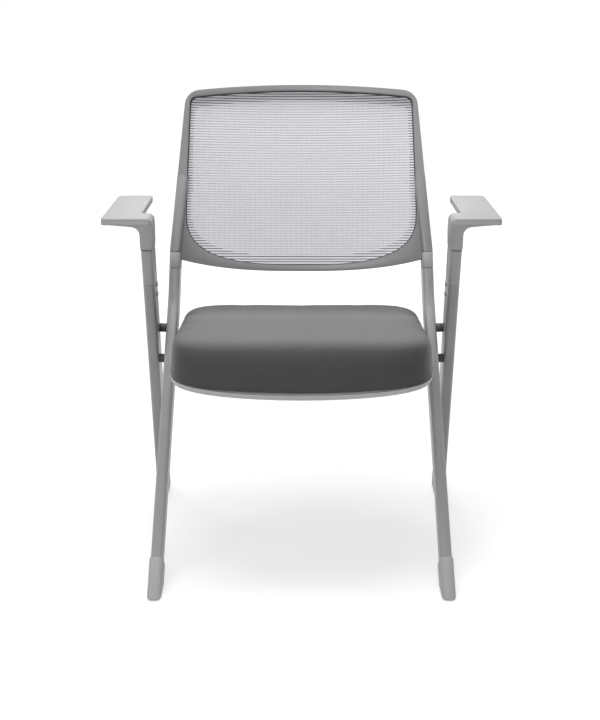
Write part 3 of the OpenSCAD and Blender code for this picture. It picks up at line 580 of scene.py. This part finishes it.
@dataclass
class Studio:
    """Floor, light and camera."""

    floor_radius: float = 14.0
    floor_segments: int = 96
    floor_tone: float = 0.8
    floor_roughness: float = 0.9
    shown_tone: float = 0.55
    glow_reach: Span = (0.8, 2.6)
    glow: Span = (0.6, 0.95)
    world_strength: float = 0.17
    camera_at: Triple = (-0.0024, -2.586, 1.0412)
    pitch: float = 15.0
    lens: float = 87.6
    sensor: float = 36.0
    lights: tuple[Softbox, ...] = (
        Softbox("top_light", (-0.2, -0.3, 2.9), 1.8, 66.0, aim=(0.0, -0.1, 0.4)),
        Softbox("front_light", (-0.7, -3.4, 1.7), 1.2, 30.0),
        Softbox("left_light", (-3.2, 0.3, 1.5), 1.4, 15.0),
        Softbox("right_light", (3.2, 0.3, 1.5), 1.4, 10.0),
        Softbox("rear_light", (0.0, 3.4, 2.0), 1.4, 8.0),
    )

    def build(self) -> None:
        """Builds the floor, the world, the lights and the camera."""
        self.floor()
        self.world()
        for light in self.lights:
            light.build()
        self.camera()

    def floor(self) -> None:
        """A pale round floor that shows white around a soft shadow."""
        bm = bmesh.new()
        bmesh.ops.create_circle(bm, cap_ends=True, segments=self.floor_segments,
                                radius=self.floor_radius)
        mesh = bpy.data.meshes.new("floor")
        bm.to_mesh(mesh)
        bm.free()
        mesh.materials.append(self.floor_finish().material)
        Workshop.put("floor", mesh)

    def floor_finish(self) -> Bench:
        """A plain floor for the light, which shows as a glow that is brighter further out.

        Returns:
            The bench with the finished material.
        """
        bench = Bench("studio_floor")
        bench.shader.inputs["Base Color"].default_value = (*[self.floor_tone] * 3, 1.0)
        bench.shader.inputs["Roughness"].default_value = self.floor_roughness
        bench.shader.inputs["Specular IOR Level"].default_value = 0.0
        pale = bench.node("ShaderNodeBsdfDiffuse", Color=(*[self.shown_tone] * 3, 1.0))
        glow = bench.node("ShaderNodeEmission")
        away = bench.node("ShaderNodeVectorMath", operation="LENGTH")
        bench.link(bench.place, "Object", away, 0)
        level = bench.smooth(away, self.glow_reach, self.glow)
        bench.link(level, "Result", glow, "Strength")
        both = bench.node("ShaderNodeAddShader")
        bench.link(pale, "BSDF", both, 0)
        bench.link(glow, "Emission", both, 1)
        pick = bench.node("ShaderNodeMixShader")
        bench.link(self.seen(bench), "Value", pick, 0)
        bench.link(bench.shader, "BSDF", pick, 1)
        bench.link(both, "Shader", pick, 2)
        bench.link(pick, "Shader", bench.output, "Surface")
        return bench

    @staticmethod
    def seen(kit: NodeKit) -> bpy.types.Node:
        """1 for rays that show the background: straight, mirrored or let through.

        Args:
            kit: Where the nodes are added.

        Returns:
            The Math node, whose output is Value.
        """
        path = kit.node("ShaderNodeLightPath")
        first = kit.combine("MAXIMUM", path.outputs["Is Camera Ray"], path.outputs["Is Glossy Ray"])
        return kit.combine("MAXIMUM", first.outputs["Value"], path.outputs["Is Transmission Ray"])

    def world(self) -> None:
        """A soft even sky that shows as white."""
        world = bpy.data.worlds.new("studio")
        world.use_nodes = True
        kit = NodeKit(world.node_tree)
        out = kit.node("ShaderNodeOutputWorld")
        sky = kit.node("ShaderNodeBackground", Color=(1.0, 1.0, 1.0, 1.0))
        level = kit.node("ShaderNodeMapRange", To_Min=self.world_strength, To_Max=1.0)
        kit.link(self.seen(kit), "Value", level, "Value")
        kit.link(level, "Result", sky, "Strength")
        kit.link(sky, "Background", out, "Surface")
        bpy.context.scene.world = world

    def camera(self) -> None:
        """The photograph's viewpoint."""
        data = bpy.data.cameras.new("camera")
        data.sensor_fit = "HORIZONTAL"
        data.sensor_width = self.sensor
        data.lens = self.lens
        made = Workshop.put("camera", data)
        made.location = self.camera_at
        made.rotation_euler = (math.radians(90.0 - self.pitch), 0.0, 0.0)
        bpy.context.scene.camera = made
        bpy.context.scene.view_settings.view_transform = "Standard"


# Side frames


@dataclass
class SideFrames:
    """The crossed legs with their feet, spacers, bolts and cross tubes."""

    foot_edge: float = 1.2
    block_edge: float = 0.5
    glide_edge: float = 0.4

    def build(self) -> None:
        """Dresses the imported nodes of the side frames."""
        for side in SIDES:
            for end in ("front", "rear"):
                Workshop.dress(f"{side}_{end}_leg", STEEL)
                Workshop.dress(f"{side}_{end}_foot", FOOT, self.foot_edge)
        Workshop.dress("axle_tube", STEEL)
        Workshop.dress("frame_spacers", NYLON, self.block_edge)
        Workshop.dress("stop_arms", NYLON, self.block_edge)
        Workshop.dress("frame_bolts", ZINC)
        Workshop.dress("sleeve_nuts", ZINC)
        Workshop.dress("glide_pads", RUBBER, self.glide_edge)


# Arms


@dataclass
class Arms:
    """The moulded arms and their caps."""

    shell_edge: float = 0.6
    cap_edge: float = 1.4

    def build(self) -> None:
        """Dresses both arms."""
        for side in SIDES:
            Workshop.dress(f"{side}_arm", SHELL, self.shell_edge)
            Workshop.dress(f"{side}_arm_pad", CAP, self.cap_edge)
        Workshop.dress("arm_screws", STEEL)


# Backrest


@dataclass
class BackPlane:
    """The leaning plane of the backrest and its curve around the sitter, in millimetres."""

    seam_y: float = 89.01
    seam_z: float = 532.4
    lean: float = 13.0
    radius: float = 735.0
    axis_y: float = -697.11

    def place(self, x: float, z: float, depth: float) -> Vector:
        """A point of the backrest.

        Args:
            x: Distance from the middle.
            z: Height above the seams, along the plane.
            depth: Distance behind the back's curve.

        Returns:
            The point in metres.
        """
        y = self.axis_y + math.sqrt((self.radius + depth) ** 2 - x * x)
        turn = math.radians(self.lean)
        return Vector((
            x,
            self.seam_y + y * math.cos(turn) + z * math.sin(turn),
            self.seam_z - y * math.sin(turn) + z * math.cos(turn),
        )) * MM


@dataclass
class Opening:
    """The mesh opening of the back frame, in the backrest's plane, in millimetres."""

    half: float = 215.0
    top_half: float = 206.0
    wide_h: float = 77.0
    top: float = 303.0
    arch: float = 16.0
    low: float = -23.5
    corner: float = 14.0
    corner_steps: int = 5
    power: float = 2.9
    arch_share: float = 0.8
    steps: int = 14

    def outline(self, grow: float) -> list[Vector]:
        """The outline, counter-clockwise from the left at its widest.

        Args:
            grow: Distance that it is made larger on every side.

        Returns:
            Its points as (x, z, 0).
        """
        half = self.half + grow
        top_half = self.top_half + grow
        top = self.top + grow
        share = self.arch_share
        points = self.bowl(half, self.wide_h - self.low + grow)
        right = self.rounded(
            Vector((half, self.wide_h, 0)),
            Vector((top_half, top - self.arch, 0)),
            Vector((top_half * share, top - self.arch * share ** 2, 0)),
        )
        points += right
        for i in range(self.steps - 1, -self.steps, -1):
            part = share * i / self.steps
            points.append(Vector((top_half * part, top - self.arch * part ** 2, 0)))
        return points + [Vector((-p.x, p.y, 0)) for p in reversed(right)]

    def bowl(self, half: float, deep: float) -> list[Vector]:
        """The lower half of the outline, a superellipse from the left to the right.

        Args:
            half: Half its width.
            deep: Its depth under its widest place.

        Returns:
            Its points.
        """
        bend = 2 / self.power
        points = []
        for i in range(-self.steps, self.steps + 1):
            turn = math.pi / 2 * i / self.steps
            x = math.copysign(half * abs(math.sin(turn)) ** bend, turn)
            points.append(Vector((x, self.wide_h - deep * max(0.0, math.cos(turn)) ** bend, 0)))
        return points

    def rounded(self, start: Vector, corner: Vector, end: Vector) -> list[Vector]:
        """Points of the arc that rounds a corner.

        Args:
            start: A point before the corner.
            corner: The corner.
            end: A point after it.

        Returns:
            The points of the arc.
        """
        into = (start - corner).normalized()
        away = (end - corner).normalized()
        half = into.angle(away) / 2
        first = corner + into * self.corner / math.tan(half)
        last = corner + away * self.corner / math.tan(half)
        middle = corner + (into + away).normalized() * self.corner / math.sin(half)
        points = []
        for k in range(self.corner_steps + 1):
            part = k / self.corner_steps
            way = (first - middle) * (1 - part) + (last - middle) * part
            points.append(middle + way.normalized() * self.corner)
        return points


class Row(Enum):
    """The strips of one row of the knit, from below."""

    LOW_RECESS = 0
    SLIT = 1
    HIGH_RECESS = 2
    RIB_FOOT = 3
    RIB_CREST = 4


class Zone(Enum):
    """Where a face of the knit lies, which sets its finish."""

    RIB = 0
    RECESS = 1
    # The hem, and the painted shadow line under the frame's lip.
    HEM_AND_LIP_SHADOW = 2


@dataclass
class KnitSheet:
    """The back's knitted mesh: raised ribs across with open slits between them, in millimetres."""

    pitch: float = 4.84
    recess: float = 0.6
    slit: float = 0.45
    thread_pitch: float = 9.6
    thread: float = 1.2
    rib_rise: float = 0.5
    thick: float = 0.6
    depth: float = 1.0
    seat: float = 4.0
    # Width of the painted shadow line under the frame's lip.
    border: float = 1.6
    side_hem: float = 7.0
    end_hem: float = 17.0
    shortest: float = 0.01
    touch: float = 0.0001

    def columns(self, half: float) -> list[float]:
        """Places of the net's lines across the mesh, thread and opening in turn.

        Args:
            half: Half the width that they cover.

        Returns:
            The places, sorted.
        """
        count = math.ceil(half / self.thread_pitch)
        lines = []
        for i in range(-count, count + 1):
            middle = i * self.thread_pitch
            lines += [middle - self.thread / 2, middle + self.thread / 2]
        return lines

    def rows(self, low: float, top: float) -> list[float]:
        """Places of the rows' lines up the mesh, five for each rib and slit.

        Args:
            low: Height at which they start.
            top: Height that they reach.

        Returns:
            The places, sorted.
        """
        foot = 2 * self.recess + self.slit
        steps = (0.0, self.recess, self.recess + self.slit, foot, (foot + self.pitch) / 2)
        lines = []
        z = low
        while z < top:
            lines += [z + step for step in steps]
            z += self.pitch
        return lines + [z]

    def build(self, plane: BackPlane, opening: Opening) -> bpy.types.Object:
        """Builds the sheet in the opening's seat.

        Args:
            plane: The backrest's plane.
            opening: The opening of the back frame.

        Returns:
            The sheet.
        """
        columns = self.columns(opening.half + self.seat)
        rows = self.rows(opening.low - self.seat - self.pitch, opening.top + self.seat)
        shown = opening.outline(-self.border)
        inner = replace(opening, half=opening.half - self.side_hem,
                        top_half=opening.top_half - self.side_hem,
                        top=opening.top - self.end_hem, low=opening.low + self.end_hem)
        bm = self.net(columns, rows)
        self.cut(bm, opening.outline(self.seat), True)
        self.cut(bm, shown, False)
        self.sort(bm, columns, rows, shown, inner.outline(0.0))
        for vert in bm.verts:
            vert.co = plane.place(vert.co.x, vert.co.y, self.depth + vert.co.z)
        bmesh.ops.recalc_face_normals(bm, faces=bm.faces)
        made = Workshop.piece("knit_sheet", bm, [RIB, NET, HEM_AND_LIP_SHADOW], Body.FRAME, "mesh")
        thick = made.modifiers.new("thickness", "SOLIDIFY")
        thick.thickness = self.thick * MM
        thick.offset = 0.0
        return made

    def net(self, columns: list[float], rows: list[float]) -> bmesh.types.BMesh:
        """A flat net of the lines, with the ribs' crests raised.

        Args:
            columns: Places of its lines across.
            rows: Places of its lines up.

        Returns:
            Its bmesh.
        """
        bm = bmesh.new()
        last_column, last_row = len(columns) - 1, len(rows) - 1
        bmesh.ops.create_grid(bm, x_segments=last_column, y_segments=last_row, size=1.0)
        for vert in bm.verts:
            i = round((vert.co.x + 1) / 2 * last_column)
            k = round((vert.co.y + 1) / 2 * last_row)
            crest = self.rib_rise if k % len(Row) == Row.RIB_CREST.value else 0.0
            vert.co = Vector((columns[i], rows[k], -crest))
        return bm

    def sort(self, bm: bmesh.types.BMesh, columns: list[float], rows: list[float],
             shown: list[Vector], inner: list[Vector]) -> None:
        """Gives each face its zone's finish and opens the slits.

        Args:
            bm: The cut net.
            columns: Places of its lines across.
            rows: Places of its lines up.
            shown: Outline of the mesh inside its dark border, which is painted shadow of the frame's
                lip.
            inner: Outline of the mesh inside its hem, where recesses and slits start.
        """
        holes = []
        for face in bm.faces:
            middle = face.calc_center_median()
            row = Row((bisect.bisect_right(rows, middle.y) - 1) % len(Row))
            thread = bisect.bisect_right(columns, middle.x) % 2 == 1
            # Painted shadow: faces outside the shown outline take the dark finish as the frame lip's
            # shadow line.
            if not self.inside(middle, shown):
                face.material_index = Zone.HEM_AND_LIP_SHADOW.value
            elif row in (Row.RIB_FOOT, Row.RIB_CREST):
                face.material_index = Zone.RIB.value
            elif not self.inside(middle, inner):
                face.material_index = Zone.HEM_AND_LIP_SHADOW.value
            elif row is not Row.SLIT:
                face.material_index = Zone.RECESS.value
            elif not thread:
                holes.append(face)
        bmesh.ops.delete(bm, geom=holes, context="FACES_ONLY")

    def cut(self, bm: bmesh.types.BMesh, outline: list[Vector], clear: bool) -> None:
        """Cuts a flat mesh along a convex outline.

        Args:
            bm: The mesh.
            outline: The outline, counter-clockwise.
            clear: Whether what lies outside it goes.
        """
        for a, b in zip(outline, outline[1:] + outline[:1]):
            run = b - a
            if run.length < self.shortest:
                continue
            bmesh.ops.bisect_plane(bm, geom=bm.verts[:] + bm.edges[:] + bm.faces[:], dist=self.touch,
                                   plane_co=a, plane_no=Vector((run.y, -run.x, 0)), clear_outer=clear)

    @staticmethod
    def inside(point: Vector, outline: list[Vector]) -> bool:
        """Whether a point is inside a convex outline.

        Args:
            point: The point.
            outline: The outline, counter-clockwise.

        Returns:
            True where no side has the point on its right.
        """
        for a, b in zip(outline, outline[1:] + outline[:1]):
            if (b.x - a.x) * (point.y - a.y) - (b.y - a.y) * (point.x - a.x) < 0:
                return False
        return True


@dataclass
class Backrest:
    """The back frame with its mesh, carrier, collars and screws."""

    plane: BackPlane = field(default_factory=BackPlane)
    opening: Opening = field(default_factory=Opening)
    knit: KnitSheet = field(default_factory=KnitSheet)
    frame_edge: float = 2.0
    carrier_edge: float = 0.6
    collar_edge: float = 0.5

    def build(self) -> None:
        """Dresses the frame and builds the mesh in its opening."""
        # The back frame takes the darker shell plastic, which is painted shade.
        Workshop.dress("back_frame", SHADED_BACK_SHELL, self.frame_edge)
        Workshop.dress("mesh_carrier", CARRIER, self.carrier_edge)
        for side in SIDES:
            Workshop.dress(f"{side}_collar", SHELL, self.collar_edge)
        Workshop.dress("collar_screws", STEEL)
        sheet = self.knit.build(self.plane, self.opening)
        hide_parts("back_mesh")
        self.flat_area()

    def flat_area(self) -> float:
        """Flat area of the cut mesh by its outline's own points.

        Returns:
            The area in square metres.
        """
        outline = self.opening.outline(self.knit.seat)
        total = 0.0
        for a, b in zip(outline, outline[1:] + outline[:1]):
            total += a.x * b.y - b.x * a.y
        return abs(total) / 2 * MM * MM


# Seat


@dataclass(frozen=True)
class Curve:
    """A smooth curve through points that are sorted along their first value."""

    points: tuple[Span, ...]

    def at(self, x: float) -> float:
        """The curve's value.

        Args:
            x: Place along the curve, held within its ends.

        Returns:
            The value there, by a Hermite spline with slopes from the neighbours.
        """
        places = [p[0] for p in self.points]
        x = min(max(x, places[0]), places[-1])
        i = min(max(bisect.bisect_right(places, x) - 1, 0), len(places) - 2)
        span = places[i + 1] - places[i]
        k = (x - places[i]) / span
        start, end = self.slope(i) * span, self.slope(i + 1) * span
        return (
            (2 * k ** 3 - 3 * k ** 2 + 1) * self.points[i][1] + (k ** 3 - 2 * k ** 2 + k) * start
            + (3 * k ** 2 - 2 * k ** 3) * self.points[i + 1][1] + (k ** 3 - k ** 2) * end
        )

    def slope(self, i: int) -> float:
        """Slope at a point, from the points beside it."""
        low, high = self.points[max(i - 1, 0)], self.points[min(i + 1, len(self.points) - 1)]
        return (high[1] - low[1]) / (high[0] - low[0])


class Skin(Enum):
    """The parts of the cushion's skin."""

    TOP = "top"
    SIDE = "side"
    UNDERSIDE = "underside"


@dataclass
class CushionForm:
    """The cushion's closed skin as an even net of squares, in metres."""

    half: float = 0.228
    depth: float = 0.412
    front: float = -0.2715
    power: float = 6.0
    taper: float = 0.03
    edge: float = 0.3598
    edge_rise: float = 0.018
    crown: float = 0.441
    crown_drop: float = 0.02
    inside: float = 0.3758
    board: float = 0.0093
    board_start: float = 0.12
    hem: float = 0.007
    hem_run: float = 0.063
    shoulder: float = 0.9
    front_roll: float = 0.8
    side_roll: float = 1.15
    across: int = 72
    along: int = 66
    up: int = 14
    side: Curve = Curve(((0.0, 0.007), (0.07, 0.003), (0.25, 0.0), (0.5, 0.0), (0.66, 0.003),
                         (0.79, 0.01), (0.9, 0.025)))
    top: Curve = Curve(((0.025, 0.9), (0.05, 0.965), (0.1, 1.005), (0.3, 1.035), (0.62, 1.045),
                        (1.0, 1.05)))
    lid: float = 0.9999
    weld: float = 0.0001
    facing: float = 0.6

    def edge_height(self, x: float) -> float:
        """Height of the lower edge at a distance from the middle."""
        return self.edge + self.edge_rise * (x / self.half) ** 2

    def build(self) -> bmesh.types.BMesh:
        """Builds the skin: a top, rows of sides and an underside.

        Returns:
            Its bmesh, with a UV map in metres.
        """
        bm = bmesh.new()
        for level, turn in ((1.0, 0.0), (-1.0, math.pi)):
            lay = Matrix.Translation((0.0, 0.0, level)) @ Matrix.Rotation(turn, 4, "X")
            bmesh.ops.create_grid(bm, x_segments=self.across, y_segments=self.along, size=1.0,
                                  matrix=lay)
        rim = [e for e in bm.edges if e.is_boundary and e.verts[0].co.z > 0]
        for row in range(1, self.up + 1):
            made = bmesh.ops.extrude_edge_only(bm, edges=rim)
            rim = [g for g in made["geom"] if isinstance(g, bmesh.types.BMEdge)]
            for vert in {v for e in rim for v in e.verts}:
                vert.co.z = 1.0 - 2.0 * row / self.up
        bmesh.ops.remove_doubles(bm, verts=bm.verts, dist=self.weld)
        self.order(bm)
        for vert in bm.verts:
            vert.co = self.place(vert.co)
        bmesh.ops.recalc_face_normals(bm, faces=bm.faces)
        self.unfold(bm)
        return bm

    @staticmethod
    def order(bm: bmesh.types.BMesh) -> None:
        """Puts edges and faces in the order of their corners, so that the cloth moves alike each run.

        Args:
            bm: The skin.
        """
        count = len(bm.verts)

        def rank(item: bmesh.types.BMEdge | bmesh.types.BMFace) -> int:
            """A number that only one edge or face has, from its lowest corners."""
            low = sorted(v.index for v in item.verts)
            return (low[0] * count + low[1]) * count + low[min(2, len(low) - 1)]

        bm.verts.index_update()
        for group in (bm.edges, bm.faces):
            group.sort(key=rank)
            group.index_update()

    def part(self, point: Vector) -> Skin:
        """The part of the skin that a point is on.

        Args:
            point: Its place in a box of half width 1.

        Returns:
            The part.
        """
        if point.z > self.lid:
            return Skin.TOP
        return Skin.SIDE if point.z > -self.lid else Skin.UNDERSIDE

    def place(self, point: Vector) -> Vector:
        """Moves a point of a square box to the cushion's skin.

        Args:
            point: Its place in a box of half width 1.

        Returns:
            Its place in metres.
        """
        inward = 1 - max(abs(point.x), abs(point.y))
        part = self.part(point)
        if part is Skin.SIDE:
            share = self.side.at(self.shoulder * (point.z + 1) / 2)
        else:
            start = self.top.points[0][0] if part is Skin.TOP else self.hem
            share = start + inward * (1 - start)
        u, v = self.on_outline(point.x, point.y)
        across = along = share
        if point.z > 0:
            across = share ** self.side_roll
            along = share ** (self.front_roll if v < 0 else self.side_roll)
        x = u * self.half * (1 - across) * (1 - self.taper * (1 + v) / 2)
        y = self.front + self.depth / 2 * (1 + v * (1 - along))
        return Vector((x, y, self.height(point, share, x, y)))

    def on_outline(self, x: float, y: float) -> tuple[float, float]:
        """The place on the unit outline in a given direction, or 0, 0 without one."""
        size = (abs(x) ** self.power + abs(y) ** self.power) ** (1 / self.power)
        return (x / size, y / size) if size > 1e-9 else (0.0, 0.0)

    def height(self, point: Vector, share: float, x: float, y: float) -> float:
        """Height of a point of the skin.

        Args:
            point: Its place in a box of half width 1.
            share: How far it is drawn in from the outline.
            x: Its place across, in metres.
            y: Its place along, in metres.

        Returns:
            The height in metres.
        """
        part = self.part(point)
        low = self.edge_height(x)
        high = self.crown - self.crown_drop * (y - self.front) / self.depth
        if part is Skin.TOP:
            return low + (high - low) * self.top.at(share)
        if part is Skin.SIDE:
            return low + (high - low) * self.shoulder * (point.z + 1) / 2
        if share > self.board_start:
            return self.inside + self.board
        return low + (self.inside - low) * min(1.0, max(0.0, (share - self.hem) / self.hem_run))

    def unfold(self, bm: bmesh.types.BMesh) -> None:
        """Gives each face a flat UV map in metres, by the side that it faces.

        Args:
            bm: The skin.
        """
        layer = bm.loops.layers.uv.new("weave")
        bm.normal_update()
        for face in bm.faces:
            normal = face.normal
            if abs(normal.z) > self.facing:
                first, second = 0, 1
            elif abs(normal.y) > abs(normal.x):
                first, second = 0, 2
            else:
                first, second = 1, 2
            for loop in face.loops:
                loop[layer].uv = (loop.vert.co[first], loop.vert.co[second])


@dataclass
class Seat:
    """The flip-up seat: pan, board, cushion, brackets and hinge parts."""

    form: CushionForm = field(default_factory=CushionForm)
    board_edge: float = 0.6
    bracket_edge: float = 0.6
    screw_edge: float = 0.3
    bumper_edge: float = 0.8
    shrink: float = 0.992
    pressure: float = 4.0
    tension: float = 18.0
    compression: float = 12.0
    bending: float = 2.0
    frames: int = 20
    cap: float = 0.0035
    hold_start: float = 0.004
    hold_run: float = 0.02
    even_share: float = 0.4
    even_rounds: int = 2

    def build(self) -> None:
        """Dresses the hard parts and swells the cushion."""
        Workshop.dress("seat_pan", PAN)
        Workshop.dress("seat_board", PLY, self.board_edge)
        for side in SIDES:
            Workshop.dress(f"{side}_seat_bracket", NYLON, self.bracket_edge)
        Workshop.dress("saddle_caps", NYLON, self.bracket_edge)
        Workshop.dress("hinge_bushes", BUSH)
        Workshop.dress("cap_screws", ZINC, self.screw_edge)
        Workshop.dress("bracket_screws", ZINC, self.screw_edge)
        Workshop.dress("seat_bumpers", RUBBER, self.bumper_edge)
        cushion = self.cushion()
        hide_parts("seat_cushion")

    def cushion(self) -> bpy.types.Object:
        """The upholstered cushion, swollen by a cloth simulation.

        Returns:
            The cushion.
        """
        bm = self.form.build()
        middle = self.form.front + self.form.depth / 2
        for vert in bm.verts:
            squeeze = 1 - (1 - self.shrink) * self.freedom(vert.co)
            vert.co.x *= squeeze
            vert.co.y = middle + (vert.co.y - middle) * squeeze
        made = Workshop.piece("cushion", bm, [WEAVE], Body.SEAT, "cushion")
        for edge in made.data.edges:
            edge.vertices = sorted(edge.vertices)
        self.swell(made)
        smooth = made.modifiers.new("even", "SMOOTH")
        smooth.factor = self.even_share
        smooth.iterations = self.even_rounds
        skin = made.modifiers.new("skin", "SUBSURF")
        skin.levels = 1
        skin.render_levels = 1
        return made

    def freedom(self, point: Vector) -> float:
        """How free a point of the cushion is: 0 at its lower edge and 1 above it."""
        rise = point.z - self.form.edge_height(point.x) - self.hold_start
        return min(1.0, max(0.0, rise / self.hold_run))

    @staticmethod
    def settle(piece: bpy.types.Object) -> None:
        """Applies a piece's modifiers to its mesh.

        Args:
            piece: The piece, which keeps its materials.
        """
        graph = bpy.context.evaluated_depsgraph_get()
        graph.update()
        shaped = bpy.data.meshes.new_from_object(piece.evaluated_get(graph))
        shaped.materials.clear()
        for material in piece.data.materials:
            shaped.materials.append(material)
        piece.modifiers.clear()
        old = piece.data
        piece.data = shaped
        bpy.data.meshes.remove(old)
        for face in piece.data.polygons:
            face.use_smooth = True

    def swell(self, piece: bpy.types.Object) -> None:
        """Blows a cushion up like stuffed cloth and keeps each point's move within a cap.

        Args:
            piece: The cushion, with an even mesh.
        """
        start = [v.co.copy() for v in piece.data.vertices]
        cloth = piece.modifiers.new("cloth", "CLOTH")
        cloth.settings.use_pressure = True
        cloth.settings.uniform_pressure_force = self.pressure
        cloth.settings.effector_weights.gravity = 0.0
        cloth.settings.tension_stiffness = self.tension
        cloth.settings.compression_stiffness = self.compression
        cloth.settings.bending_stiffness = self.bending
        cloth.collision_settings.use_collision = False
        cloth.point_cache.frame_start = 1
        cloth.point_cache.frame_end = self.frames
        scene = bpy.context.scene
        for step in range(1, self.frames + 1):
            scene.frame_set(step)
        self.settle(piece)
        scene.frame_set(1)
        for vert, was in zip(piece.data.vertices, start):
            move = (vert.co - was) * self.freedom(was)
            if move.length > self.cap:
                move = move.normalized() * self.cap
            vert.co = was + move
        LOG.info("swelled %s", piece.name)


# The chair


def main() -> None:
    """Builds the chair and its studio."""
    logging.basicConfig(level=logging.INFO, format="%(name)s: %(message)s")
    for part in (SideFrames(), Arms(), Backrest(), Seat(), Studio()):
        part.build()
        LOG.info("built %s", type(part).__name__)


if __name__ == "__main__":
    main()
